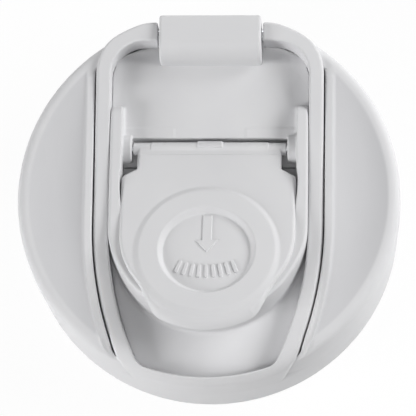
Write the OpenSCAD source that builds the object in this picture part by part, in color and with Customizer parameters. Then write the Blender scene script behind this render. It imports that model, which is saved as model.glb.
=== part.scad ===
// Screw-on drinking lid with a flip cap and a carry bail.
// Origin: lid axis on the plane of the skirt's bottom edge. +Z up, the spout's front is towards -Y. Millimetres.

/* [Shell] */
// Diameter across the shoulder
lid_d = 90; // [86:1:104]
// Height of the skirt up to the start of the shoulder's round
shoulder_z = 24; // [23:0.5:27]
// Radius of the shoulder's round
shoulder_r = 2.4; // [1.6:0.1:3]
// Radius lost from the shoulder down to the bottom edge, the mould's draft
skirt_draft = 0.6; // [0:0.1:1.2]
// Wall of the skirt and of the wings
shell_wall = 2.2; // [1.8:0.1:2.8]
// Depth of the wings' dish below the rim
dish_dip = 1.4; // [0.6:0.1:2]
// Width of the raised land along each wing's inner edge
land_w = 1.8; // [1.4:0.1:2.4]
// Height of that land over the rim
land_h = 0.4; // [0.2:0.1:0.8]

/* [Neck] */
// Height of the liner's bottom edge over the skirt's bottom edge
liner_z = 0.6; // [0.4:0.1:1.5]
// Depth of the socket for the bottle's neck
neck_depth = 11.4; // [10:0.2:11.4]
// Radial gap between skirt and liner
liner_gap = 0.3; // [0.2:0.05:0.5]
// Wall of the liner's sleeve
liner_wall = 2.7; // [2.2:0.1:3.2]
// Thickness of the liner's closing disc and of the shell's shelf
shelf_t = 2; // [1.6:0.1:2.4]
// Height of the thread's ridge
thread_h = 1.4; // [1:0.1:1.6]
// Rise of the thread in one turn
thread_pitch = 5; // [4:0.25:6]
// Height of the threaded part of the socket
thread_zone = 6; // [5.6:0.1:6.6]
// Width of the mouth gasket
gasket_w = 5; // [4:0.2:6]
// Thickness of the mouth gasket
gasket_t = 1.6; // [1.2:0.1:2]

/* [Spout] */
// Half width of the collar, outside, and radius of its round front
collar_r = 23.1; // [22:0.1:24]
// Wall of the collar and of its ears
collar_wall = 2.35; // [2:0.05:2.8]
// Place of the round front's centre behind the lid axis
collar_y = -8.8; // [-9.4:0.1:-8]
// Height of the ears' flat tops
ear_z = 26.5; // [26:0.1:27]
// Place of the ears' round back ends
ear_back_y = 22.4; // [21.4:0.2:23.4]
// Height of the floor behind the cap's hinge
floor_z = 22.5; // [22:0.1:22.8]
// Height of the apron in front of the collar
apron_z = 21.2; // [20.6:0.1:21.6]
// Skin of the deck
deck_skin = 1.8; // [1.6:0.1:2.2]
// Bore of the throat tube
throat_d = 17.2; // [15:0.2:18]
// Bore of the mouth hole in the spout's face
mouth_d = 15; // [12:0.2:15.6]
// Radial gap that the throat's O-ring fills
throat_ring_gap = 1.8; // [1.6:0.1:2.2]

/* [Flip cap] */
// Tilt of the closed cap, front up
cap_tilt = 14; // [12:0.5:15]
// Hinge axis of the cap, behind the lid axis
cap_hinge_y = 12.4; // [12:0.1:13]
// Hinge axis of the cap, above the skirt's bottom edge
cap_hinge_z = 22.2; // [22:0.1:22.6]
// Gap between the cap and the collar
cap_gap = 0.35; // [0.3:0.05:0.5]
// Top of the cap's plate over the hinge axis
cap_top = 1.4; // [1.3:0.05:1.5]
// Thickness of the cap's plate
cap_t = 2.4; // [2.2:0.1:2.6]
// Distance from the hinge to the centre of the thumb dimple
dimple_u = 28.1; // [27:0.1:28.6]
// Diameter of the thumb dimple
dimple_d = 22; // [18:0.5:24]
// Diameter of the raised ring round the dimple
ring_d = 33; // [30:0.5:34]
// Height of the raised ring
ring_h = 0.7; // [0.4:0.1:0.9]
// Depth of the dimple below the ring
dimple_depth = 1.4; // [0.8:0.1:1.6]
// Distance from the hinge to the tip of the cap's lip
lip_u = 47.9; // [47:0.1:48.6]
// Half width of the lip at its corners
lip_half = 11.5; // [9:0.25:12.5]
// Diameter of the cap's hinge barrel
barrel_d = 3.3; // [3.2:0.05:3.5]
// Diameter of the cap's hinge pin
cap_pin_d = 1.6; // [1.4:0.1:1.8]
// Thickness of the seal's flange under the cap
seal_t = 1.9; // [1.6:0.1:2.2]
// Gap between the seal and the spout's face
seal_gap = 0.3; // [0.2:0.05:0.5]

/* [Bail] */
// Width of the bail's arms
arm_w = 3.5; // [3:0.1:3.9]
// Gap between the bail's arms and the collar
arm_gap = 0.35; // [0.3:0.05:0.5]
// Gap between the bail and the wings
wing_gap = 0.45; // [0.35:0.05:0.8]
// Radius of the arms' inward curve
arm_curve = 92.4; // [90:0.4:96]
// Place where the arms begin to curve in
arm_bend_y = -6.5; // [-8:0.5:-5]
// Height of the arms
arm_h = 6; // [5.4:0.1:6.2]
// Height of the bail's top over the hinge axis
bail_top = 3.1; // [2.9:0.1:3.3]
// Slope of the bail's top, down towards the front
bail_slope = 1.2; // [1:0.1:1.4]
// Thickness of the front bar
bar_t = 2.1; // [1.9:0.1:2.4]
// Height of the front bar's bottom edge
bar_z = 13; // [12.8:0.1:14]
// Half width of the front bar at its bottom edge
bar_half = 18.1; // [16:0.1:18.6]
// Radius of the bail's outer back corners
corner_r = 12.5; // [11:0.1:13]
// Round of the back floor's corners, larger than the bail's inner corners so that the bail swings clear
floor_corner_r = 8.8; // [8.6:0.1:10]
// Width of the bail's back bar
back_w = 4.6; // [4.4:0.1:5]
// Height of the bail's hinge axis
bail_hinge_z = 24.4; // [24.2:0.1:24.6]
// Diameter of the bail's hinge pin
bail_pin_d = 3; // [2.6:0.1:3.2]
// Radial running clearance of both pins in the pieces that turn on them
run_fit = 0.05; // [0.03:0.01:0.08]
// Depth of the pin in each end of the bail
pin_depth = 5; // [4:0.25:7]

/* [Hinge block] */
// Half width of the block
block_half = 12.1; // [10:0.1:12.6]
// Height of the block's top
block_z = 30; // [29:0.1:30.6]
// Length of the block from back to front
block_l = 10.3; // [9.6:0.1:11]
// Distance of the block's back face inside the shoulder
block_inset = 1.6; // [1.5:0.1:2.2]
// Gap between the block and the ends of the bail
block_gap = 0.4; // [0.3:0.05:0.6]

/* [Hidden] */
$fn = 96;
eps = 0.01;
far = 120;

R = lid_d / 2;
r_skirt_in = R - shell_wall;
rim_z = shoulder_z + shoulder_r;
rim_r = R - shoulder_r;
land_z = rim_z + land_h;

// Liner and shelf, stacked from the bottom
disc_z = liner_z + neck_depth;
shelf_z = disc_z + shelf_t;
deck_z = shelf_z + shelf_t;
liner_r = r_skirt_in - liner_gap;
neck_r = liner_r - liner_wall;
shelf_r = neck_r;
guide_r = neck_r - thread_h - 0.2;
guide_z = liner_z + thread_zone;
groove_z = disc_z - gasket_t - 0.15;
gasket_r = neck_r - 0.4;

// Deck
deck_r = r_skirt_in - 0.4;
flange_t = 1.4;
collar_in = collar_r - collar_wall;
collar_in_y = collar_y - 1;
throat_r = throat_d / 2;
throat_wall = 1.8;
tube_r = throat_r + throat_wall;
boss_in = tube_r + throat_ring_gap;
boss_wall = 2;
boss_top = deck_z - 0.2;
tube_z = disc_z + 0.6;
boss_r = 3.3;
boss_x = 18.4;

// Flip cap, in its own frame: u away from the hinge, w up from the hinge axis
cap_half = collar_in - cap_gap;
cap_under = cap_top - cap_t;
face_w = cap_under - seal_t - seal_gap;
cap_u = (cap_hinge_y - collar_in_y) / cos(cap_tilt);
barrel_r = barrel_d / 2;
barrel_half = boss_x - 0.3;
barrel_mid_r = barrel_r + 0.25;
barrel_mid_half = barrel_half - 4.2;
nib_r = barrel_mid_r + 0.45;
nib_half = 3;
slot_y = cap_hinge_y + nib_r + 0.25;
pad_x0 = 8;
pad_l = 3.4;
pad_h = 0.35;
neck_half = barrel_half - 1.2;
shoulder_u = 8;
neck_u = 5.9;
lip_r = 21.1;
lip_corner_u = lip_u - 3.4;
lip_root_u = lip_u - 9.5;
lip_root_half = lip_half + 2.9;
seal_r = mouth_d / 2 + 2.7;
plug_r = mouth_d / 2 - 0.6;
plug_t = 1.5;
notch_under = cap_under - cap_gap;
rim_w = cap_top - 0.7;

// Throat: straight down below the mouth hole's centre
mouth_y = cap_hinge_y - dimple_u * cos(cap_tilt) + face_w * sin(cap_tilt);

// Bail
arm_in = collar_r + arm_gap;
arm_out = arm_in + arm_w;
wing_x = arm_out + wing_gap;
bail_back_y = R - 2.8;
bail_hinge_y = bail_back_y - back_w / 2;
bar_in = R - bar_t;
arm_low_z = deck_z + flange_t + 0.5;
tan_slope = tan(bail_slope);
end_x = block_half + block_gap;
inner_corner_r = corner_r - back_w;
swing_r = 4.3;
bar_side = 0.28;
bar_top_half = bar_half + bar_side * (bail_hinge_z - 1.4 - bar_z);

// Hinge block
block_back_y = R - block_inset;
block_foot_y = block_back_y - block_l;
block_roll = 4.4;
block_edge = 1.2;
ledge_z = bail_hinge_z - swing_r - 0.1;
upright_z = ledge_z - 2;

white = [0.84, 0.84, 0.83];
silicone = [0.78, 0.79, 0.78];
steel = [0.62, 0.63, 0.65];

function arc(cx, cy, r, a0, a1, n) =
    [for (i = [0:n]) [cx + r * cos(a0 + (a1 - a0) * i / n), cy + r * sin(a0 + (a1 - a0) * i / n)]];

// Height of the bail's top at a place along Y
function bail_z(y) = bail_hinge_z + bail_top + (y - bail_hinge_y) * tan_slope;

// Ground plan between the wings, as wide as the bail plus a margin: straight sides, curving in at the front
module between_wings(margin) {
    curve = arm_curve + margin;
    union() {
        translate([-(arm_out + margin), arm_bend_y])
            square([2 * (arm_out + margin), far]);
        intersection() {
            translate([arm_out - arm_curve, arm_bend_y])
                circle(r = curve, $fn = 180);
            translate([arm_curve - arm_out, arm_bend_y])
                circle(r = curve, $fn = 180);
            translate([-far / 2, arm_bend_y - far])
                square([far, far + eps]);
        }
    }
}

// A shape drawn in the plane of Y and Z, drawn out along X to both sides
module along_x(half) {
    rotate([90, 0, 90])
        translate([0, 0, -half])
            linear_extrude(height = 2 * half)
                children();
}

// A shape drawn in the plane of X and Z, drawn out towards the front
module to_front(y0, y1) {
    translate([0, y0, 0])
        rotate([90, 0, 0])
            linear_extrude(height = y0 - y1)
                children();
}

// The front bar's face: narrower at the bottom, grown by a margin
module bar_face(margin, z1) {
    top_half = bar_half + bar_side * (z1 - bar_z);
    polygon([
        [-bar_half - margin, bar_z - margin],
        [bar_half + margin, bar_z - margin],
        [top_half + margin, z1],
        [-top_half - margin, z1]
    ]);
}

// Puts children drawn in the cap's frame at the hinge, tilted as the closed cap is
module at_cap() {
    translate([0, cap_hinge_y, cap_hinge_z])
        rotate([-cap_tilt, 0, 0])
            mirror([0, 1, 0])
                children();
}

// Skirt, shoulder and the full dished top
module shell_solid() {
    chord = rim_r - 30;
    dish_r = (chord * chord / 4 + dish_dip * dish_dip) / (2 * dish_dip);
    dish_a = asin(chord / 2 / dish_r);
    dish_c = rim_z - dish_dip + dish_r;
    rotate_extrude($fn = 180)
        polygon(concat(
            [[r_skirt_in, 0], [R - skirt_draft, 0], [R, upright_z]],
            arc(rim_r, shoulder_z, shoulder_r, 0, 84, 6),
            arc(rim_r - chord / 2, dish_c, dish_r, -90 + dish_a, -90 - dish_a, 8),
            [[0, rim_z], [0, deck_z], [shelf_r, deck_z], [shelf_r, shelf_z], [r_skirt_in, shelf_z]]
        ));
}

// Raised lands along the inner edges of the wings
module wing_lands() {
    intersection() {
        translate([0, 0, rim_z - 1.5])
            linear_extrude(height = land_z - rim_z + 1.5)
                difference() {
                    between_wings(wing_gap + land_w);
                    between_wings(wing_gap - eps);
                }
        translate([0, 0, rim_z - 2])
            cylinder(r = rim_r + 0.4, h = 6, $fn = 180);
    }
}

// The hollow below each wing, open to the inside
module wing_hollows() {
    difference() {
        translate([0, 0, deck_z - eps])
            cylinder(r = r_skirt_in, h = rim_z - dish_dip - shell_wall - deck_z, $fn = 180);
        translate([0, 0, deck_z - 1])
            linear_extrude(height = rim_z)
                between_wings(wing_gap + land_w);
    }
}

module outer_shell() {
    color(white)
    difference() {
        union() {
            shell_solid();
            wing_lands();
        }
        wing_hollows();
        // room for the deck between the wings
        intersection() {
            translate([0, 0, deck_z - 2 * eps])
                linear_extrude(height = far)
                    between_wings(wing_gap);
            translate([0, 0, deck_z - 1])
                cylinder(r = r_skirt_in, h = far, $fn = 180);
        }
        // room for the bail's arms where they reach the shoulder at the front
        translate([0, 0, deck_z + flange_t - 0.4])
            linear_extrude(height = far)
                intersection() {
                    between_wings(wing_gap);
                    translate([-far / 2, -R * 0.844])
                        square([far, R * 0.844]);
                }
        // ledge below the bail's back bar and the hinge block
        translate([0, 0, ledge_z])
            linear_extrude(height = far)
                intersection() {
                    between_wings(wing_gap);
                    translate([-far / 2, 0])
                        square([far, far]);
                }
        // notch for the front bar
        difference() {
            to_front(-R * 0.7, -R - 5)
                bar_face(wing_gap, rim_z + 5);
            cylinder(r = r_skirt_in - 0.1, h = far, $fn = 180);
        }
    }
}

module thread_liner() {
    color(white)
    difference() {
        union() {
            rotate_extrude($fn = 180)
                polygon([
                    [neck_r, liner_z], [liner_r, liner_z], [liner_r, shelf_z], [0, shelf_z], [0, disc_z],
                    [neck_r, disc_z], [neck_r, groove_z], [guide_r, groove_z], [guide_r, guide_z], [neck_r, guide_z]
                ]);
            // boss that the throat tube's O-ring seals in
            translate([0, mouth_y, disc_z])
                cylinder(r = boss_in + boss_wall, h = boss_top - disc_z);
            // three thread ridges, each sloped along its own arc
            for (a = [0:120:240])
                rotate([0, 0, a])
                    translate([0, 0, liner_z + thread_zone / 2])
                        rotate([atan(thread_pitch / (2 * PI * neck_r)), 0, 0])
                            rotate([0, 0, -40])
                                rotate_extrude(angle = 80, $fn = 180)
                                    polygon([
                                        [neck_r + 0.6, -1.6], [neck_r + 0.6, 1.6], [neck_r, 1.4],
                                        [neck_r - thread_h, 0.5], [neck_r - thread_h, -0.5], [neck_r, -1.4]
                                    ]);
        }
        translate([0, mouth_y, disc_z - 1])
            cylinder(r = boss_in, h = 10);
    }
}

module mouth_gasket() {
    color(silicone)
    rotate_extrude($fn = 180)
        polygon([
            [gasket_r - gasket_w, disc_z - gasket_t], [gasket_r, disc_z - gasket_t],
            [gasket_r, disc_z], [gasket_r - gasket_w, disc_z]
        ]);
}

// Ground plan of the collar: a round front and straight sides back to the ears' ends
module collar_plan(r, y, back_y) {
    union() {
        translate([0, y])
            circle(r = r);
        translate([-r, y])
            square([2 * r, back_y - y]);
    }
}

// Side view of the collar: flat ears, then a rim that rises with the cap
module collar_side() {
    rise = tan(cap_tilt);
    foot = cap_hinge_z + rim_w / cos(cap_tilt);
    knee_y = cap_hinge_y - (ear_z - foot) / rise;
    front_y = collar_y - collar_r - 1;
    ear_end = (ear_z - deck_z) * 0.3;
    union() {
        polygon([
            [front_y, deck_z], [ear_back_y, deck_z], [ear_back_y, ear_z - ear_end],
            [ear_back_y - ear_end, ear_z], [knee_y, ear_z],
            [front_y, foot + (cap_hinge_y - front_y) * rise]
        ]);
        translate([ear_back_y - ear_end, ear_z - ear_end])
            circle(r = ear_end, $fn = 48);
    }
}

// Outline of the cap in its own frame, grown by a margin
module cap_plan(margin) {
    half = cap_half + margin;
    union() {
        translate([0, cap_u])
            circle(r = half);
        polygon([
            [-neck_half, 0], [neck_half, 0], [neck_half, neck_u], [half, shoulder_u], [half, cap_u],
            [-half, cap_u], [-half, shoulder_u], [-neck_half, neck_u]
        ]);
        lip_plan(margin);
    }
}

// The lip at the cap's front, bounded by a shallow arc
module lip_plan(margin) {
    intersection() {
        translate([0, lip_u - lip_r])
            circle(r = lip_r + margin);
        polygon([
            [-lip_root_half - margin, lip_root_u - 6], [lip_root_half + margin, lip_root_u - 6],
            [lip_root_half + margin, lip_root_u], [lip_half + margin, lip_corner_u],
            [lip_half - 6 + margin, lip_u + 3], [-lip_half + 6 - margin, lip_u + 3],
            [-lip_half - margin, lip_corner_u], [-lip_root_half - margin, lip_root_u]
        ]);
    }
}

// Front apron: flat near the collar, falling to the front bar
module apron_solid(drop) {
    edge_z = apron_z - 1.7;
    rotate_extrude($fn = 180)
        polygon(concat(
            [[0, deck_z], [deck_r - drop, deck_z], [deck_r - drop, edge_z - drop]],
            [for (i = [1:6]) [deck_r - drop - 6 * (1 - cos(15 * i)) * 0.95, edge_z - drop + 1.7 * sin(15 * i)]],
            [[0, apron_z - drop]]
        ));
}

// Ground plan of the deck inside the bail: back floor and front apron
module inside_bail(margin) {
    back = bail_back_y - back_w - arm_gap - margin;
    half = arm_in - arm_gap - margin;
    rc = floor_corner_r - margin;
    intersection() {
        between_wings(-arm_w - arm_gap - margin);
        union() {
            translate([-half, -far])
                square([2 * half, far + back - rc]);
            translate([-half + rc, 0])
                square([2 * half - 2 * rc, back]);
            for (s = [-1, 1])
                translate([s * (half - rc), back - rc])
                    circle(r = rc);
        }
    }
}

module spout_deck() {
    color(white)
    difference() {
        union() {
            // flange on the shell's shelf, below the bail's arms
            translate([0, 0, deck_z])
                intersection() {
                    linear_extrude(height = flange_t)
                        between_wings(wing_gap - 0.4);
                    cylinder(r = deck_r, h = far, center = true, $fn = 180);
                }
            // back floor
            translate([0, 0, deck_z])
                linear_extrude(height = floor_z - deck_z)
                    intersection() {
                        inside_bail(0);
                        translate([-far / 2, slot_y])
                            square([far, far]);
                    }
            // low pads behind the slot of the cap's barrel
            for (s = [-1, 1])
                translate([s * (pad_x0 + boss_x) / 2 - (boss_x - pad_x0) / 2, slot_y, floor_z - 1])
                    cube([boss_x - pad_x0, pad_l, 1 + pad_h]);
            // front apron
            intersection() {
                apron_solid(0);
                translate([0, 0, deck_z - eps])
                    linear_extrude(height = far)
                        intersection() {
                            inside_bail(0);
                            translate([-far / 2, -far])
                                square([far, far + collar_y]);
                        }
            }
            // collar with its ears
            intersection() {
                translate([0, 0, deck_z])
                    linear_extrude(height = far)
                        collar_plan(collar_r, collar_y, ear_back_y);
                along_x(collar_r + 1)
                    collar_side();
            }
        }
        // hollow below the back floor
        translate([0, 0, deck_z - eps])
            linear_extrude(height = floor_z - deck_skin - deck_z - 1.2)
                intersection() {
                    inside_bail(deck_skin);
                    translate([-far / 2, slot_y + deck_skin])
                        square([far, block_foot_y - slot_y - 2.5 * deck_skin]);
                }
        // hollow below the apron
        difference() {
            intersection() {
                translate([0, 0, deck_z - 2 * eps])
                    rotate_extrude($fn = 180)
                        polygon([
                            [0, 0], [deck_r - deck_skin, 0], [deck_r - deck_skin - 1.4, apron_z - 1.7 - deck_skin - deck_z + 1],
                            [0, apron_z - 1.7 - deck_skin - deck_z + 1]
                        ]);
                translate([0, 0, deck_z - 1])
                    linear_extrude(height = far)
                        intersection() {
                            inside_bail(deck_skin);
                            translate([-far / 2, -far])
                                square([far, far + collar_y - 4]);
                        }
            }
            translate([0, 0, deck_z - 2])
                linear_extrude(height = far)
                    collar_plan(collar_r, collar_y, ear_back_y);
        }
        // inside of the collar, above the spout's sloped face
        intersection() {
            translate([0, 0, deck_z - 1])
                linear_extrude(height = far)
                    collar_plan(collar_in, collar_in_y, cap_hinge_y);
            at_cap()
                translate([-far / 2, barrel_r + 1.4, face_w])
                    cube([far, far, far]);
        }
        // slot of the cap's barrel, with the ears as free walls beside and behind it
        translate([-collar_in, cap_hinge_y - barrel_r - 1.6, cap_hinge_z - nib_r - 0.25])
            cube([2 * collar_in, slot_y - cap_hinge_y + barrel_r + 1.6, far]);
        difference() {
            translate([-collar_in, cap_hinge_y, floor_z])
                cube([2 * collar_in, far, far]);
            for (s = [-1, 1])
                translate([s * (pad_x0 + boss_x) / 2 - (boss_x - pad_x0) / 2, slot_y, floor_z - 1])
                    cube([boss_x - pad_x0, pad_l, 1 + pad_h]);
        }
        // inside of the collar, below the sloped face and round the throat tube
        difference() {
            intersection() {
                translate([0, 0, deck_z - 3 * eps])
                    linear_extrude(height = far)
                        collar_plan(collar_in, collar_in_y, cap_hinge_y - barrel_r - 4);
                at_cap()
                    translate([-far / 2, -far / 2, face_w - deck_skin - far])
                        cube([far, far, far]);
            }
            translate([0, mouth_y, 0])
                cylinder(r = tube_r, h = far);
        }
        // notch in the collar's front for the cap's lip
        at_cap()
            translate([0, 0, notch_under])
                linear_extrude(height = far)
                    lip_plan(cap_gap);
        // mouth hole and throat
        at_cap()
            translate([0, dimple_u, face_w - deck_skin - 3])
                cylinder(d = mouth_d, h = deck_skin + 4);
        intersection() {
            translate([0, mouth_y, 0])
                cylinder(r = throat_r, h = far);
            at_cap()
                translate([-far / 2, -far / 2, face_w - deck_skin - far])
                    cube([far, far, far]);
        }
        // bail's back bar swings here
        for (s = [-1, 1])
            translate([s * (block_half + far / 2), bail_hinge_y, bail_hinge_z])
                rotate([0, 90, 0])
                    cylinder(r = swing_r + arm_gap, h = far, center = true);
        // seat of the hinge block
        translate([-block_half - 0.05, block_foot_y, ledge_z])
            cube([2 * block_half + 0.1, far, far]);
        // bores for the cap's pin
        translate([0, cap_hinge_y, cap_hinge_z])
            rotate([0, 90, 0])
                cylinder(d = cap_pin_d + 0.04, h = far, center = true, $fn = 48);
    }
    // throat tube down into the liner
    color(white)
    difference() {
        intersection() {
            translate([0, mouth_y, tube_z])
                cylinder(r = tube_r, h = far);
            at_cap()
                translate([-far / 2, -far / 2, face_w - deck_skin - far + 0.2])
                    cube([far, far, far]);
        }
        translate([0, mouth_y, 0])
            cylinder(r = throat_r, h = far);
    }
    // bosses on the inner faces of the ears
    color(white)
    difference() {
        for (s = [-1, 1])
            translate([s * (boss_x + collar_in + 0.2) / 2, cap_hinge_y, cap_hinge_z])
                rotate([0, 90, 0])
                    cylinder(r = boss_r, h = collar_in + 0.2 - boss_x, center = true, $fn = 64);
        translate([0, cap_hinge_y, cap_hinge_z])
            rotate([0, 90, 0])
                cylinder(d = cap_pin_d + 0.04, h = far, center = true, $fn = 48);
    }
}

module throat_ring() {
    ring_r = throat_ring_gap / 2 - 0.05;
    color(silicone)
    translate([0, mouth_y, boss_top - ring_r - 0.5])
        rotate_extrude()
            translate([tube_r + throat_ring_gap / 2, 0])
                circle(r = ring_r, $fn = 32);
}

module hinge_block() {
    color(white)
    difference() {
        along_x(block_half)
            union() {
                polygon(concat(
                    [[block_foot_y, ledge_z], [block_back_y, ledge_z]],
                    arc(block_back_y - block_edge, block_z - block_edge, block_edge, 0, 90, 4),
                    arc(block_foot_y + block_roll, block_z - block_roll, block_roll, 90, 180, 8)
                ));
            }
        translate([0, bail_hinge_y, bail_hinge_z])
            rotate([0, 90, 0])
                cylinder(d = bail_pin_d + 0.04, h = far, center = true, $fn = 64);
    }
}

module bail_pin() {
    color(steel)
    translate([0, bail_hinge_y, bail_hinge_z])
        rotate([0, 90, 0])
            cylinder(d = bail_pin_d, h = 2 * (end_x + pin_depth - 0.4), center = true, $fn = 64);
}

// Ground plan of the bail's outside
module bail_outside() {
    half = arm_out;
    intersection() {
        between_wings(0);
        circle(r = R, $fn = 180);
        union() {
            translate([-half, -far])
                square([2 * half, far + bail_back_y - corner_r]);
            translate([-half + corner_r, 0])
                square([2 * half - 2 * corner_r, bail_back_y]);
            for (s = [-1, 1])
                translate([s * (half - corner_r), bail_back_y - corner_r])
                    circle(r = corner_r);
        }
    }
}

// Ground plan of the bail's opening
module bail_inside() {
    half = arm_in;
    back = bail_back_y - back_w;
    intersection() {
        between_wings(-arm_w);
        circle(r = bar_in, $fn = 180);
        union() {
            translate([-half, -far])
                square([2 * half, far + back - inner_corner_r]);
            translate([-half + inner_corner_r, 0])
                square([2 * half - 2 * inner_corner_r, back]);
            for (s = [-1, 1])
                translate([s * (half - inner_corner_r), back - inner_corner_r])
                    circle(r = inner_corner_r);
        }
    }
}

module bail() {
    color(white)
    difference() {
        intersection() {
            linear_extrude(height = far)
                difference() {
                    bail_outside();
                    bail_inside();
                    translate([-end_x, 0])
                        square([2 * end_x, far]);
                }
            union() {
                // arms, kept over the deck's flange
                along_x(arm_out + 1)
                    polygon([
                        [R, bail_z(R)], [-R * 0.836, bail_z(-R * 0.836)],
                        [-R * 0.836, bail_z(-R * 0.836) - arm_h], [R, bail_z(R) - arm_h]
                    ]);
                // front bar
                difference() {
                    intersection() {
                        to_front(0, -R - 2)
                            bar_face(0, rim_z + 5);
                        along_x(arm_out + 1)
                            polygon([[0, bail_z(0)], [-R - 1, bail_z(-R - 1)], [-R - 1, bar_z], [0, bar_z]]);
                    }
                    cylinder(r = bar_in, h = arm_low_z);
                    translate([-far / 2, -R * 0.8, 0])
                        cube([far, far, far]);
                }
            }
        }
        for (s = [-1, 1])
            translate([s * (end_x + pin_depth / 2 - 0.5), bail_hinge_y, bail_hinge_z])
                rotate([0, 90, 0])
                    cylinder(d = bail_pin_d + 2 * run_fit, h = pin_depth + 1, center = true, $fn = 64);
    }
}

module flip_cap() {
    color(white)
    difference() {
        union() {
            at_cap() {
                translate([0, 0, cap_under])
                    linear_extrude(height = cap_t)
                        cap_plan(0);
                // raised ring
                translate([0, dimple_u, cap_under + 0.2])
                    cylinder(d = ring_d, h = cap_t - 0.2 + ring_h);
            }
            // hinge barrel, thicker in the middle, with a nib over the slot behind it
            translate([0, cap_hinge_y, cap_hinge_z])
                rotate([0, 90, 0])
                    cylinder(r = barrel_r, h = 2 * barrel_half, center = true, $fn = 64);
            translate([0, cap_hinge_y, cap_hinge_z])
                rotate([0, 90, 0])
                    cylinder(r = barrel_mid_r, h = 2 * barrel_mid_half, center = true, $fn = 64);
            translate([0, cap_hinge_y, cap_hinge_z])
                intersection() {
                    rotate([0, 90, 0])
                        cylinder(r = nib_r, h = 2 * nib_half, center = true, $fn = 64);
                    translate([-nib_half - 1, 0, 0])
                        cube([2 * nib_half + 2, nib_r + 1, nib_r + 1]);
                }
        }
        at_cap()
            translate([0, dimple_u, cap_top + ring_h - dimple_depth])
                cylinder(d = dimple_d, h = far);
        translate([0, cap_hinge_y, cap_hinge_z])
            rotate([0, 90, 0])
                cylinder(d = cap_pin_d + 2 * run_fit, h = far, center = true, $fn = 48);
    }
}

module flap_pin() {
    color(steel)
    translate([0, cap_hinge_y, cap_hinge_z])
        rotate([0, 90, 0])
            cylinder(d = cap_pin_d, h = 2 * (collar_r - 0.8), center = true, $fn = 48);
}

module spout_seal() {
    color(silicone)
    at_cap()
        translate([0, dimple_u, cap_under])
            mirror([0, 0, 1])
                union() {
                    cylinder(r = seal_r, h = seal_t);
                    cylinder(r = plug_r, h = seal_t + seal_gap + plug_t);
                }
}

outer_shell();
thread_liner();
mouth_gasket();
spout_deck();
throat_ring();
hinge_block();
bail_pin();
bail();
flip_cap();
flap_pin();
spout_seal();
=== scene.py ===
import logging
import math
from dataclasses import dataclass, field
from enum import Enum
from functools import reduce
from typing import Callable, Protocol, Sequence

import bpy
import numpy as np
from mathutils import Matrix, Vector


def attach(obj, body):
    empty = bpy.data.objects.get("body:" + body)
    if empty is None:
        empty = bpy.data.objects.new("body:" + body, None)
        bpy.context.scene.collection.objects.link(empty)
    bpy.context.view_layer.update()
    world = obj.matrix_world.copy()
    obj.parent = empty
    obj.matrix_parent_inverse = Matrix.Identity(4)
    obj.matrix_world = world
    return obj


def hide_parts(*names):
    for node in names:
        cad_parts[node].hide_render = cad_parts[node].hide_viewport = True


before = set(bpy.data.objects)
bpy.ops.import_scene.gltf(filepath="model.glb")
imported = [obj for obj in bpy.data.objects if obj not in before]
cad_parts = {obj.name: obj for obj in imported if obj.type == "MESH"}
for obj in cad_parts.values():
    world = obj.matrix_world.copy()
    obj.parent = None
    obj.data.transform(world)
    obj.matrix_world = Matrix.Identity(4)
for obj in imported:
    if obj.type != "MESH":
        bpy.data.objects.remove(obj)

LOG = logging.getLogger("drink_lid")
MM = 0.001
GRID_CHUNK = 24  # grid slices worked out at a time
GRID_MARGIN = (1.5, 2.5)  # grid cells beyond a solid's box, below and above
SETTLE_TURNS = 3  # moves that bring a mesh point onto its surface
MOST_MOVE = 0.5  # longest such move, in grid cells
NUDGE_MM = 0.02  # distance over which a field's slope is measured
TINY = 1e-6  # smallest slope that is divided by
HIDDEN_MM = 1.0  # how far joined forms and cuts reach past each other, out of sight
WAVE_BANDS = 10 / math.pi  # bands in a unit length of a wave texture of scale 1
COLOUR_BLEND = {"data_type": "RGBA"}
Array = np.ndarray
Point = tuple[float, float]
Field = Callable[[Array, Array, Array], Array]


class Body(Enum):
    """The rigid bodies that pieces ride on."""

    LID = "lid"
    BAIL = "carry_bail"
    CAP = "cap"


class Slot(Enum):
    """The record's material slots."""

    WHITE = "white_plastic"
    LINER = "liner_plastic"
    SILICONE = "silicone"
    STEEL = "steel"


Finishes = dict[Slot, bpy.types.Material]


class SubAssembly(Protocol):
    """A group of pieces that builds and dresses itself."""

    def build(self, finishes: Finishes) -> list[bpy.types.Object]:
        """Builds the pieces and gives them their finishes.

        Args:
            finishes: material of each slot.

        Returns:
            The pieces.
        """


# Distance fields: negative inside, in millimetres.


def both(a: Array, b: Array, radius: float | Array) -> Array:
    """Overlap of two solids with the outer edge between them rounded.

    Args:
        a: field of the first solid.
        b: field of the second solid.
        radius: radius of the round, in mm.

    Returns:
        The field of the overlap.
    """
    corner = np.hypot(np.maximum(a + radius, 0), np.maximum(b + radius, 0))
    return np.minimum(np.maximum(a, b), -radius) + corner


def either(a: Array, b: Array, radius: float) -> Array:
    """Union of two solids with the inner corner between them filleted.

    Args:
        a: field of the first solid.
        b: field of the second solid.
        radius: radius of the fillet, in mm.

    Returns:
        The field of the union.
    """
    corner = np.hypot(np.maximum(radius - a, 0), np.maximum(radius - b, 0))
    return np.maximum(np.minimum(a, b), radius) - corner


def without(a: Array, b: Array, radius: float) -> Array:
    """First solid with the second cut out of it, and the cut's edge rounded by a radius."""
    return both(a, -b, radius)


def all_of(*fields: Array) -> Array:
    """Sharp-edged overlap of several solids."""
    return reduce(np.maximum, fields)


def any_of(*fields: Array) -> Array:
    """Sharp-edged union of several solids."""
    return reduce(np.minimum, fields)


def slab(x: Array, low: float, high: float) -> Array:
    """Field of the space between two parallel planes."""
    return np.maximum(low - x, x - high)


def soft_step(t: Array) -> Array:
    """Smooth rise from 0 to 1 as t goes from 0 to 1."""
    t = np.clip(t, 0, 1)
    return t * t * (3 - 2 * t)


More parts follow.
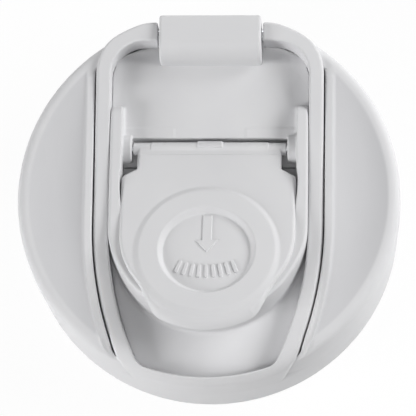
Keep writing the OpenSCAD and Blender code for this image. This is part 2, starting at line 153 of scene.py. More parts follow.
def soft_ramp(t: Array, blend: float) -> Array:
    """Nought below zero and t above it, with a smooth bend between."""
    return (t + np.hypot(t, blend)) / 2


def past_line(x: Array, y: Array, start: Point, end: Point) -> Array:
    """Signed distance from a line, positive to the right of its direction.

    Args:
        x: first coordinate.
        y: second coordinate.
        start: a point on the line.
        end: a further point on the line.

    Returns:
        The distance, in mm.
    """
    dx, dy = end[0] - start[0], end[1] - start[1]
    return ((x - start[0]) * dy - (y - start[1]) * dx) / math.hypot(dx, dy)


# Meshes from fields.


def sample_grid(solid: Field, low: Sequence[float], high: Sequence[float],
                step: float) -> tuple[Array, Array]:
    """Works a field out on a grid that reaches a little past the solid's box.

    Args:
        solid: the field.
        low: lowest corner of the solid's box, in mm.
        high: highest corner of the solid's box, in mm.
        step: side of a grid cell, in mm.

    Returns:
        The grid's lowest corner and the field's values.
    """
    below, above = GRID_MARGIN
    axes = [np.arange(a - below * step, b + above * step, step) for a, b in zip(low, high)]
    values = np.empty(tuple(len(a) for a in axes), np.float32)
    gy, gz = axes[1][None, :, None], axes[2][None, None, :]
    for i in range(0, len(values), GRID_CHUNK):
        values[i:i + GRID_CHUNK] = solid(axes[0][i:i + GRID_CHUNK, None, None], gy, gz)
    return np.array([a[0] for a in axes]), values


def crossing_points(values: Array) -> tuple[Array, Array]:
    """Puts one point in each grid cell that the surface crosses.

    Args:
        values: the field on the grid.

    Returns:
        Points in grid units, and each cell's point number, -1 where it isn't crossed.
    """
    inside = values < 0
    nx, ny, nz = (n - 1 for n in values.shape)
    corners = [(a, b, c) for a in (0, 1) for b in (0, 1) for c in (0, 1)]
    count = np.zeros((nx, ny, nz), np.uint8)
    for a, b, c in corners:
        count += inside[a:nx + a, b:ny + b, c:nz + c]
    crossed = (count > 0) & (count < len(corners))
    cells = np.argwhere(crossed)
    index = np.full(count.shape, -1, np.int64)
    index[crossed] = np.arange(len(cells))
    total, hits = np.zeros((len(cells), 3)), np.zeros(len(cells))
    for near in corners:
        for axis in range(3):
            if near[axis]:
                continue
            far = list(near)
            far[axis] = 1
            va = values[tuple((cells + near).T)].astype(float)
            vb = values[tuple((cells + far).T)].astype(float)
            cross = (va < 0) != (vb < 0)
            spot = np.tile(np.array(near, float), (len(cells), 1))
            spot[:, axis] += np.where(cross, va / np.where(cross, va - vb, 1.0), 0.0)
            total += spot * cross[:, None]
            hits += cross
    return cells + total / hits[:, None], index


def crossing_quads(inside: Array, index: Array) -> Array:
    """Joins the points of the four cells round each grid edge that the surface crosses.

    Args:
        inside: where the grid's corners lie inside the solid.
        index: each cell's point number.

    Returns:
        Quads as rows of four point numbers, facing outwards.
    """
    quads = []
    for axis in range(3):
        one, two = [a for a in range(3) if a != axis]
        marks = np.argwhere(np.diff(inside.astype(np.int8), axis=axis) != 0)
        marks = marks[(marks[:, one] > 0) & (marks[:, two] > 0)]
        keep = (marks[:, one] < inside.shape[one] - 1) & (marks[:, two] < inside.shape[two] - 1)
        marks = marks[keep]
        ring = []
        for da, db in ((0, 0), (1, 0), (1, 1), (0, 1)):
            cell = marks.copy()
            cell[:, one] -= da
            cell[:, two] -= db
            ring.append(index[tuple(cell.T)])
        face = np.stack(ring, 1)
        outward = inside[tuple(marks.T)]
        flip = outward if axis != 1 else ~outward
        face[flip] = face[flip][:, ::-1]
        quads.append(face[:, ::-1])
    return np.concatenate(quads)


def settle(solid: Field, points: Array, step: float) -> tuple[Array, Array]:
    """Moves points along the field's slope until they lie on the surface.

    Args:
        solid: the field.
        points: points near the surface, in mm.
        step: side of a grid cell, in mm.

    Returns:
        The points, and the surface's direction at each.
    """
    slope = np.zeros_like(points)
    for turn in range(SETTLE_TURNS + 1):
        for axis in range(3):
            ahead, behind = points.copy(), points.copy()
            ahead[:, axis] += NUDGE_MM
            behind[:, axis] -= NUDGE_MM
            slope[:, axis] = (solid(*ahead.T) - solid(*behind.T)) / (2 * NUDGE_MM)
        size = np.maximum(np.linalg.norm(slope, axis=1), TINY)
        if turn < SETTLE_TURNS:
            away = np.clip(solid(*points.T) / size, -MOST_MOVE * step, MOST_MOVE * step)
            points = points - slope / size[:, None] * away[:, None]
    return points, slope / size[:, None]


def mesh_piece(name: str, solid: Field, low: Sequence[float], high: Sequence[float],
               step: float) -> bpy.types.Object:
    """Makes a smooth object from a solid's field.

    Args:
        name: the piece's name.
        solid: the field, in mm in the part's frame.
        low: lowest corner of the solid's box, in mm.
        high: highest corner of the solid's box, in mm.
        step: side of a grid cell, in mm.

    Returns:
        The object, in metres, linked to the scene.
    """
    origin, values = sample_grid(solid, low, high, step)
    spots, index = crossing_points(values)
    faces = crossing_quads(values < 0, index)
    points, slope = settle(solid, origin + spots * step, step)
    mesh = bpy.data.meshes.new(name)
    mesh.from_pydata((points * MM).tolist(), [], faces.tolist())
    mesh.validate()
    mesh.polygons.foreach_set("use_smooth", np.ones(len(mesh.polygons), bool))
    if len(mesh.vertices) == len(slope):
        mesh.normals_split_custom_set_from_vertices(slope.tolist())
    obj = bpy.data.objects.new(name, mesh)
    bpy.context.scene.collection.objects.link(obj)
    return obj


def place(obj: bpy.types.Object, body: Body, slot: Slot, finishes: Finishes,
          stands_for: str | None) -> bpy.types.Object:
    """Gives a piece its finish, its body and the solid that it stands for.

    Args:
        obj: the piece.
        body: the body it rides on.
        slot: the record's material slot.
        finishes: material of each slot.
        stands_for: the solid's node, or None.

    Returns:
        The piece.
    """
    obj.data.materials.append(finishes[slot])
    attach(obj, body.value)
    if stands_for:
        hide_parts(stands_for)
    return obj


# Finishes.


def srgb(code: str) -> tuple[float, float, float, float]:
    """Linear colour from an sRGB hex code.

    Args:
        code: six hex digits after a hash sign.

    Returns:
        Red, green, blue and alpha.
    """
    parts = [int(code[i:i + 2], 16) / 255 for i in (1, 3, 5)]
    linear = [c / 12.92 if c <= 0.04045 else ((c + 0.055) / 1.055) ** 2.4 for c in parts]
    return linear[0], linear[1], linear[2], 1.0


def add_node(tree: bpy.types.NodeTree, kind: str, settings: dict[str, object] | None = None,
             inputs: dict[str | int, object] | None = None) -> bpy.types.Node:
    """Adds a shader node with its settings, values and links.

    Args:
        tree: the node tree.
        kind: the node's type name.
        settings: properties of the node.
        inputs: socket name or number to a value, or to an output socket to link from.

    Returns:
        The node.
    """
    node = tree.nodes.new(kind)
    for key, value in (settings or {}).items():
        setattr(node, key, value)
    for key, value in (inputs or {}).items():
        socket = node.inputs[key]
        if isinstance(value, bpy.types.NodeSocket):
            tree.links.new(value, socket)
        else:
            socket.default_value = value
    return node


def start_material(name: str) -> tuple[bpy.types.Material, bpy.types.Node, bpy.types.NodeSocket]:
    """Starts a node material.

    Args:
        name: the real material's name.

    Returns:
        The material, its main shader and a socket with the place on the object.
    """
    made = bpy.data.materials.new(name)
    made.use_nodes = True
    tree = made.node_tree
    place_socket = add_node(tree, "ShaderNodeTexCoord").outputs["Object"]
    return made, tree.nodes["Principled BSDF"], place_socket


@dataclass(frozen=True)
class MouldedPlastic:
    """Injection-moulded polypropylene; where a mesh carries the zone's mark it has a spark-textured
    bump and a greyer colour that is painted shade.
    """

    # To the eye: an even, slightly cool white with broad dim highlights and faint flow marks.
    name: str = "satin moulded polypropylene"
    pale: str = "#DADADB"
    deep: str = "#D2D2D4"
    rough_low: float = 0.56
    rough_high: float = 0.68
    flow_mm: float = 14.0
    # the real grain is finer than the picture can show, so it is drawn coarser
    grain_mm: float = 0.35
    grain_height: float = 0.05
    # painted shade: the marked dishes are drawn a slightly greyer, drier white that stands in for
    # the shade falling in them
    painted_dish_shade: str = "#CACACC"
    dish_grain_height: float = 0.3
    bump_mm: float = 0.05
    zone: str = "dish_grain_and_painted_shade"
    ior: float = 1.49
    specular: float = 0.42

    def material(self) -> bpy.types.Material:
        """Builds the material.

        Returns:
            The node material.
        """
        made, shader, spot = start_material(self.name)
        tree = made.node_tree
        flow = add_node(tree, "ShaderNodeTexNoise", None, {
            "Vector": spot, "Scale": 1 / (self.flow_mm * MM), "Detail": 3.0, "Roughness": 0.5})
        zone = add_node(tree, "ShaderNodeAttribute", {"attribute_name": self.zone}).outputs["Fac"]
        tint = add_node(tree, "ShaderNodeMix", COLOUR_BLEND, {
            "Factor": flow.outputs["Fac"], "A": srgb(self.deep), "B": srgb(self.pale)})
        # painted shade: the marked zone is mixed towards a greyer tone
        shade = add_node(tree, "ShaderNodeMix", COLOUR_BLEND, {
            "Factor": zone, "A": tint.outputs["Result"], "B": srgb(self.painted_dish_shade)})
        grain = add_node(tree, "ShaderNodeTexNoise", None, {
            "Vector": spot, "Scale": 1 / (self.grain_mm * MM), "Detail": 2.0, "Roughness": 0.6})
        depth = add_node(tree, "ShaderNodeMapRange", None, {
            "Value": zone, "To Min": self.grain_height, "To Max": self.dish_grain_height})
        gloss = add_node(tree, "ShaderNodeMapRange", None, {
            "Value": flow.outputs["Fac"], "To Min": self.rough_low, "To Max": self.rough_high})
        bump = add_node(tree, "ShaderNodeBump", None, {
            "Strength": depth.outputs["Result"], "Distance": self.bump_mm * MM,
            "Height": grain.outputs["Fac"]})
        tree.links.new(shade.outputs["Result"], shader.inputs["Base Color"])
        tree.links.new(gloss.outputs["Result"], shader.inputs["Roughness"])
        tree.links.new(bump.outputs["Normal"], shader.inputs["Normal"])
        shader.inputs["IOR"].default_value = self.ior
        shader.inputs["Specular IOR Level"].default_value = self.specular
        return made


@dataclass(frozen=True)
class MilkySilicone:
    """Food-grade silicone."""

    # To the eye: matt and milky, a little light passing through thin edges, with a dusty bloom.
    name: str = "milky silicone"
    pale: str = "#DADBD9"
    deep: str = "#CFD1CF"
    rough: float = 0.58
    bloom_mm: float = 1.2
    bloom_height: float = 0.08
    bump_mm: float = 0.05
    glow: float = 0.2
    glow_mm: float = 0.6
    glow_spread: tuple[float, float, float] = (1.0, 0.9, 0.8)

    def material(self) -> bpy.types.Material:
        """Builds the material.

        Returns:
            The node material.
        """
        made, shader, spot = start_material(self.name)
        tree = made.node_tree
        bloom = add_node(tree, "ShaderNodeTexNoise", None, {
            "Vector": spot, "Scale": 1 / (self.bloom_mm * MM), "Detail": 4.0}).outputs["Fac"]
        tint = add_node(tree, "ShaderNodeMix", COLOUR_BLEND, {
            "Factor": bloom, "A": srgb(self.deep), "B": srgb(self.pale)})
        bump = add_node(tree, "ShaderNodeBump", None, {
            "Strength": self.bloom_height, "Distance": self.bump_mm * MM, "Height": bloom})
        tree.links.new(tint.outputs["Result"], shader.inputs["Base Color"])
        tree.links.new(bump.outputs["Normal"], shader.inputs["Normal"])
        shader.inputs["Roughness"].default_value = self.rough
        shader.inputs["Subsurface Weight"].default_value = self.glow
        shader.inputs["Subsurface Radius"].default_value = self.glow_spread
        shader.inputs["Subsurface Scale"].default_value = self.glow_mm * MM
        return made


@dataclass(frozen=True)
class GroundSteel:
    """Centreless-ground stainless pin stock."""

    # To the eye: bright metal with fine rings round the pin.
    name: str = "ground stainless steel"
    pale: str = "#C2C4C6"
    deep: str = "#A9ABAE"
    # real grinding marks are too fine to show, so the rings are drawn coarser
    ring_mm: float = 0.23686
    rough_low: float = 0.22
    rough_high: float = 0.36

    def material(self) -> bpy.types.Material:
        """Builds the material.

        Returns:
            The node material.
        """
        made, shader, spot = start_material(self.name)
        tree = made.node_tree
        rings = add_node(tree, "ShaderNodeTexWave", {"bands_direction": "X"}, {
            "Vector": spot, "Scale": 1 / (self.ring_mm * MM) / WAVE_BANDS,
            "Distortion": 1.5, "Detail": 2.0}).outputs["Fac"]
        tint = add_node(tree, "ShaderNodeMix", COLOUR_BLEND, {
            "Factor": rings, "A": srgb(self.deep), "B": srgb(self.pale)})
        rough = add_node(tree, "ShaderNodeMapRange", None, {
            "Value": rings, "To Min": self.rough_low, "To Max": self.rough_high})
        tree.links.new(tint.outputs["Result"], shader.inputs["Base Color"])
        tree.links.new(rough.outputs["Result"], shader.inputs["Roughness"])
        shader.inputs["Metallic"].default_value = 1.0
        return made


# The lid. X runs across it, Y from front to back and Z up; all sizes are in mm.


@dataclass
class Plan:
    """Ground-plan sizes that several mouldings share."""

    radius: float = 45.0
    arm_out: float = 26.95
    arm_in: float = 23.45
    curve_out: float = 87.5
    curve_in: float = 80.0
    arm_bend_y: float = -6.5
    # the gap beside the arms; below zero, shell and bail overlap out of sight
    wing_gap: float = 0.34
    close_gap: float = -0.7
    close_y: float = -39.6
    close_run: float = 3.0
    back_gap: float = -0.5
    back_y: float = 30.6
    back_run: float = 1.6
    deck_gap: float = 0.05
    bail_back_y: float = 42.2
    back_w: float = 4.6
    corner_r: float = 12.5
    bail_hinge_y: float = 39.9
    bail_hinge_z: float = 24.4
    bar_z: float = 13.0
    bar_back_y: float = -36.0
    bar_half: float = 18.1
    bar_lean: float = 0.18
    bar_run: float = 0.41
    bar_run_end: float = -2.0
    bar_open: float = 0.35
    bar_open_start: float = 0.6
    bar_corner_y: float = -40.2
    ledge_z: float = 20.0
    deck_z: float = 16.0

    def arm_line(self, x: Array, y: Array, half: float, curve: float) -> Array:
        """Distance outwards from a line that runs along the arms and curves in at the front.

        Args:
            x: across the lid.
            y: front to back.
            half: half width behind the bend.
            curve: radius of the inward curve.

        Returns:
            The field of the space inside the line.
        """
        ahead = np.minimum(y - self.arm_bend_y, 0)
        return np.hypot(np.abs(x) + (curve - half), ahead) - curve

    def bail_outer(self, x: Array, y: Array, margin: float | Array) -> Array:
        """Field of the bail's outer outline in plan, with a margin all round."""
        sides = self.arm_line(x, y, self.arm_out, self.curve_out) - margin
        return both(sides, y - self.bail_back_y - margin, self.corner_r + margin)

    def bail_inner(self, x: Array, y: Array, margin: float, corner: float) -> Array:
        """Field of the bail's inner outline in plan, with a margin and a corner radius."""
        sides = self.arm_line(x, y, self.arm_in, self.curve_in) - margin
        return both(sides, y - self.bail_back_y + self.back_w - margin, corner)

    def side_gap(self, y: Array) -> Array:
        """Gap between the bail's arms and the wings, closing at the skirt and at the back corners.

        Args:
            y: front to back.

        Returns:
            The gap's width.
        """
        opening = soft_step((y - self.close_y) / self.close_run)
        front = self.close_gap + (self.wing_gap - self.close_gap) * opening
        closing = soft_step((y - self.back_y) / self.back_run)
        return front - (self.wing_gap - self.back_gap) * closing

    def bar_side(self, x: Array, y: Array, z: Array, margin: float | Array) -> Array:
        """Field of the space between the front bar's leaning side edges.

        Args:
            x: across the lid.
            y: front to back.
            z: height.
            margin: width added on each side.

        Returns:
            The field.
        """
        behind = y - self.bar_corner_y
        half = self.bar_half + margin + self.bar_lean * (z - self.bar_z)
        reach = self.bar_run * np.maximum(behind, self.bar_run_end)
        reach = reach + self.bar_open * np.maximum(behind - self.bar_open_start, 0)
        return (np.abs(x) - half - reach) / math.hypot(1, self.bar_lean, self.bar_run)


@dataclass
class OuterShell:
    """Skirt, rounded shoulder and the two dished wings."""

    plan: Plan
    shoulder_r: float = 2.2
    rim_z: float = 26.4
    draft: float = 0.6
    upright_z: float = 18.0
    wall: float = 2.2
    foot_r: float = 0.4
    dish_r: float = 42.3
    dish_w: float = 13.2
    dish_dip: float = 1.7
    crest: float = 0.4
    # the land is the raised strip beside each arm; it leans down to the arm, more so at the front
    land_w: float = 1.8
    land_h: float = 0.25
    land_r: float = 0.4
    land_fillet: float = 0.9
    land_deep: float = 3.0
    land_end_r: float = 43.7
    land_lean: float = 0.3
    lean_growth: float = 0.07
    lean_y: float = -13.0
    land_fall: float = 0.4
    land_fall_y: float = 29.0
    # the wings' front tips sink so that the bail's corners stand proud
    tip_drop: float = 2.0
    tip_y: float = -33.0
    tip_run: float = 5.0
    tip_w: float = 6.0
    # the skirt steps back a little beside the front bar
    bar_proud: float = 0.8
    proud_w: float = 5.0
    proud_low: float = 1.5
    proud_rise: float = 3.0
    proud_y: float = -20.0
    shelf_r: float = 39.8
    shelf_z: float = 14.0
    arm_front_y: float = -38.0
    slot_half: float = 21.8
    slot_y: float = 36.0
    edge_r: float = 0.45
    notch_r: float = 0.3
    notch_lift: float = 0.3
    notch_over: float = 0.1
    # mask of the dishes' painted shade and grain bump
    grain_shade_w: float = 0.7
    grain_shade_start: float = 0.3
    grain_shade_deep: float = 1.0
    step: float = 0.36

    def land_gap(self, x: Array, y: Array) -> Array:
        """Distance outwards from the land's inner edge."""
        p = self.plan
        return p.arm_line(x, y, p.arm_out, p.curve_out) - p.wing_gap

    def dish_edges(self, x: Array, y: Array) -> tuple[Array, Array]:
        """Distances into a wing's dish from its outer rim and from the land."""
        return self.dish_r - np.hypot(x, y), self.land_gap(x, y) - self.land_w

    def wings(self, x: Array, y: Array, z: Array) -> Array:
        """Field of the moulding before anything is cut out: skirt, dishes and lands.

        Args:
            x: across the lid.
            y: front to back.
            z: height.

        Returns:
            The field.
        """
        p = self.plan
        r = np.hypot(x, y)
        side = r - p.radius + self.draft * np.maximum(1 - z / self.upright_z, 0)
        beside = np.clip(1 - np.abs(p.bar_side(x, y, z, 0.0)) / self.proud_w, 0, 1)
        beside = beside * np.clip((z - p.bar_z + self.proud_low) / self.proud_rise, 0, 1)
        side = side + self.bar_proud * beside ** 2 * (y < self.proud_y)
        gap = self.land_gap(x, y)
        from_rim, from_land = (soft_ramp(d, self.crest) for d in self.dish_edges(x, y))
        tip = self.tip_drop * soft_step((self.tip_y - y) / self.tip_run)
        tip = tip * np.clip(1 - gap / self.tip_w, 0, 1) ** 2
        # a parabola between rim and land, deepest halfway
        dish = self.dish_dip * 4 / self.dish_w ** 2 * from_rim * from_land
        body = both(side, z - self.rim_z + tip + dish, self.shoulder_r)
        land_z = self.rim_z + self.land_h - tip
        land_z = land_z - self.land_fall * np.maximum(y - self.land_fall_y, 0)
        lean = self.land_lean + self.lean_growth * np.maximum(self.lean_y - y, 0)
        land = both(gap - self.land_w, z - land_z + lean * (self.land_w - gap), self.land_r)
        land = both(land, r - self.land_end_r, self.land_r)
        return either(body, all_of(land, self.rim_z - self.land_deep - z), self.land_fillet)

    def solid(self, x: Array, y: Array, z: Array) -> Array:
        """Field of the moulding.

        Args:
            x: across the lid.
            y: front to back.
            z: height.

        Returns:
            The field.
        """
        p = self.plan
        r = np.hypot(x, y)
        inner = p.radius - self.wall
        gap_w = p.side_gap(y)
        bail_room = p.bail_outer(x, y, gap_w)
        deck_room = all_of(bail_room, p.deck_z - z, r - inner)
        arm_room = all_of(bail_room, p.deck_z + HIDDEN_MM - z, slab(y, self.arm_front_y, 0.0))
        back_slot = all_of(np.abs(x) - self.slot_half, self.slot_y - y)
        back_room = all_of(any_of(bail_room, back_slot), p.ledge_z - z, -y)
        body = without(self.wings(x, y, z), any_of(deck_room, arm_room, back_room), self.edge_r)
        notch = all_of(bail_room, p.bar_side(x, y, z, gap_w), p.bar_z + self.notch_lift - z,
                       inner - self.notch_over - r, y - p.bar_back_y)
        body = without(body, notch, self.notch_r)
        under_dish = z - self.rim_z + self.dish_dip + self.wall
        wing_room = all_of(r - inner, self.land_w - self.land_gap(x, y), under_dish, p.deck_z - z)
        neck_room = any_of(all_of(r - inner, z - self.shelf_z),
                           all_of(r - self.shelf_r, z - p.deck_z - HIDDEN_MM))
        return both(all_of(body, -any_of(wing_room, neck_room)), -z, self.foot_r)

    def mark_dish_grain_and_shade(self, obj: bpy.types.Object) -> None:
        """Marks the dishes on the mesh for their grain bump and their painted shade.

        Args:
            obj: the shell.
        """
        spots = np.empty(len(obj.data.vertices) * 3, np.float32)
        obj.data.vertices.foreach_get("co", spots)
        x, y, z = spots.reshape(-1, 3).T / MM
        depth = any_of(*self.dish_edges(x, y))
        on_top = z > self.rim_z - self.dish_dip - self.grain_shade_deep
        # painted shade: this mark greys the dishes' colour, and it also deepens their grain bump
        marks = soft_step(depth / self.grain_shade_w + self.grain_shade_start) * on_top
        layer = obj.data.attributes.new(MouldedPlastic.zone, "FLOAT", "POINT")
        layer.data.foreach_set("value", marks.astype(np.float32))

    def build(self, finishes: Finishes) -> list[bpy.types.Object]:
        """Builds and dresses the shell.

        Args:
            finishes: material of each slot.

        Returns:
            The piece.
        """
        r = self.plan.radius
        obj = mesh_piece("shell_moulding", self.solid, (-r, -r, 0),
                         (r, r, self.rim_z + self.land_h), self.step)
        self.mark_dish_grain_and_shade(obj)
        return [place(obj, Body.LID, Slot.WHITE, finishes, "outer_shell")]


@dataclass
class CarryBail:
    """Flat carry loop with the deep front bar."""

    plan: Plan
    bar_t: float = 1.8
    front_r: float = 5.0
    arm_h: float = 6.4
    arm_low_z: float = 17.9
    arm_low_r: float = 0.5
    level_z: float = 26.0
    bend_y: float = 4.0
    bend_soft: float = 0.5
    slope_deg: float = 3.6
    end_x: float = 12.5
    end_r: float = 0.4
    outer_r: float = 0.8
    inner_r: float = 0.5
    inner_corner_r: float = 1.0
    bar_low_out_r: float = 0.6
    bar_low_in_r: float = 0.4
    box_z: float = 28.4
    step: float = 0.3

    def top_z(self, y: Array) -> Array:
        """Height of the bail's top: level over the arms, rising to the hinge behind the bend."""
        rise = (y - self.bend_y) * math.tan(math.radians(self.slope_deg))
        return self.level_z + soft_ramp(rise, self.bend_soft)

    def solid(self, x: Array, y: Array, z: Array) -> Array:
        """Field of the bail.

        Args:
            x: across the lid.
            y: front to back.
            z: height.

        Returns:
            The field.
        """
        p = self.plan
        r = np.hypot(x, y)
        outside = all_of(p.bail_outer(x, y, 0.0), p.bar_side(x, y, z, 0.0))
        inside = both(p.bail_inner(x, y, 0.0, p.corner_r - p.back_w), r - p.radius + self.bar_t,
                      self.inner_corner_r)
        # the arms' top rolls over into the front bar's face
        roll_r = np.where(y < 0, self.front_r, self.outer_r)
        top = both(r - p.radius, z - self.top_z(y), roll_r)
        outer, inner = both(outside, top, self.outer_r), both(-inside, top, self.inner_r)
        low = np.maximum(self.top_z(y) - self.arm_h, self.arm_low_z) - z
        arms = all_of(both(outer, low, self.arm_low_r), both(inner, low, self.arm_low_r))
        bar = all_of(both(outer, p.bar_z - z, self.bar_low_out_r),
                     both(inner, p.bar_z - z, self.bar_low_in_r),
                     p.radius - self.bar_t - r, y - p.bar_back_y)
        return without(any_of(arms, bar), all_of(np.abs(x) - self.end_x, -y), self.end_r)

    def build(self, finishes: Finishes) -> list[bpy.types.Object]:
        """Builds and dresses the bail.

        Args:
            finishes: material of each slot.

        Returns:
            The piece.
        """
        p = self.plan
        obj = mesh_piece("bail_moulding", self.solid, (-p.arm_out, -p.radius, p.bar_z),
                         (p.arm_out, p.bail_back_y, self.box_z), self.step)
        return [place(obj, Body.BAIL, Slot.WHITE, finishes, "bail")]


@dataclass
class HingeBlock:
    """Knuckle that carries the bail at the back."""

    half: float = 12.1
    foot_y: float = 33.1
    back_y: float = 43.4
    low_z: float = 20.0
    top_z: float = 30.0
    roll_r: float = 4.4
    back_r: float = 0.6
    edge_r: float = 0.7
    step: float = 0.25

    def solid(self, x: Array, y: Array, z: Array) -> Array:
        """Field of the block.

        Args:
            x: across the lid.
            y: front to back.
            z: height.

        Returns:
            The field.
        """
        top = z - self.top_z
        profile = all_of(both(y - self.back_y, top, self.back_r),
                         both(self.foot_y - y, top, self.roll_r))
        return all_of(both(profile, np.abs(x) - self.half, self.edge_r), self.low_z - z)

    def build(self, finishes: Finishes) -> list[bpy.types.Object]:
        """Builds and dresses the block.

        Args:
            finishes: material of each slot.

        Returns:
            The piece.
        """
        obj = mesh_piece("knuckle_moulding", self.solid, (-self.half, self.foot_y, self.low_z),
                         (self.half, self.back_y, self.top_z), self.step)
        return [place(obj, Body.LID, Slot.WHITE, finishes, "hinge_block")]


@dataclass
class CapFrame:
    """The closed flip cap's own frame: u away from the hinge, w up from the hinge axis."""

    hinge_y: float = 12.4
    hinge_z: float = 22.2
    tilt_deg: float = 14.0

    def turn(self) -> Point:
        """Cosine and sine of the tilt."""
        return math.cos(math.radians(self.tilt_deg)), math.sin(math.radians(self.tilt_deg))

    def local(self, y: Array, z: Array) -> tuple[Array, Array]:
        """Cap coordinates of a point.

        Args:
            y: front to back.
            z: height.

        Returns:
            u and w.
        """
        c, s = self.turn()
        dy, dz = y - self.hinge_y, z - self.hinge_z
        return dz * s - dy * c, dy * s + dz * c

    def height(self, y: Array, w: float) -> Array:
        """Z of the plane at one w, over a place along Y."""
        c, s = self.turn()
        return self.hinge_z + (w - (y - self.hinge_y) * s) / c

    def world(self, u: float, w: float) -> Point:
        """Y and Z of a point given in cap coordinates."""
        c, s = self.turn()
        return self.hinge_y - u * c + w * s, self.hinge_z + u * s + w * c

    def axis_distance(self, y: Array, z: Array) -> Array:
        """Distance from the hinge axis."""
        return np.hypot(y - self.hinge_y, z - self.hinge_z)


@dataclass
class CapRelief:
    """Raised marks in the dimple: an arrow towards the lip and a row of grip ribs on an arc."""

    at: CapFrame
    floor_w: float
    shaft_half: float = 1.1
    shaft_u: Point = (18.4, 25.4)
    head_half: float = 2.75
    head_u: Point = (25.0, 28.1)
    arc_r: float = 17.7
    arc_u: float = 15.5
    rib_deg: float = 5.4
    ribs_each_side: int = 4
    rib_half: float = 1.35
    rib_r: float = 0.42
    height: float = 0.32
    root: float = 0.25
    top_r: float = 0.2
    root_r: float = 0.05
    box_half: float = 9.6
    box_u: Point = (17.8, 36.0)
    box_w: float = 2.0
    box_low: float = 1.5
    step: float = 0.11

    def solid(self, x: Array, y: Array, z: Array) -> Array:
        """Field of the relief.

        Args:
            x: across the lid.
            y: front to back.
            z: height.

        Returns:
            The field.
        """
        u, w = self.at.local(y, z)
        ax = np.abs(x)
        shaft = all_of(ax - self.shaft_half, slab(u, *self.shaft_u))
        base, point = self.head_u
        head = all_of(past_line(ax, u, (self.head_half, base), (0.0, point)), base - u)
        turn = np.arctan2(x, u - self.arc_u)
        far = np.hypot(x, u - self.arc_u) - self.arc_r
        pitch = math.radians(self.rib_deg)
        near = np.clip(np.round(turn / pitch), -self.ribs_each_side, self.ribs_each_side)
        across = (turn - near * pitch) * self.arc_r
        rib = np.hypot(across, np.maximum(np.abs(far) - self.rib_half, 0)) - self.rib_r
        raised = both(any_of(shaft, head, rib), w - self.floor_w - self.height, self.top_r)
        return both(raised, self.floor_w - self.root - w, self.root_r)

    def build(self, finishes: Finishes) -> list[bpy.types.Object]:
        """Builds and dresses the relief.

        Args:
            finishes: material of each slot.

        Returns:
            The piece.
        """
        y0, z0 = self.at.world(self.box_u[1], 0.0)
        y1, z1 = self.at.world(self.box_u[0], self.box_w)
        obj = mesh_piece("cap_relief", self.solid, (-self.box_half, y0, z1 - self.box_low),
                         (self.box_half, y1, z0 + self.box_w), self.step)
        return [place(obj, Body.CAP, Slot.WHITE, finishes, None)]


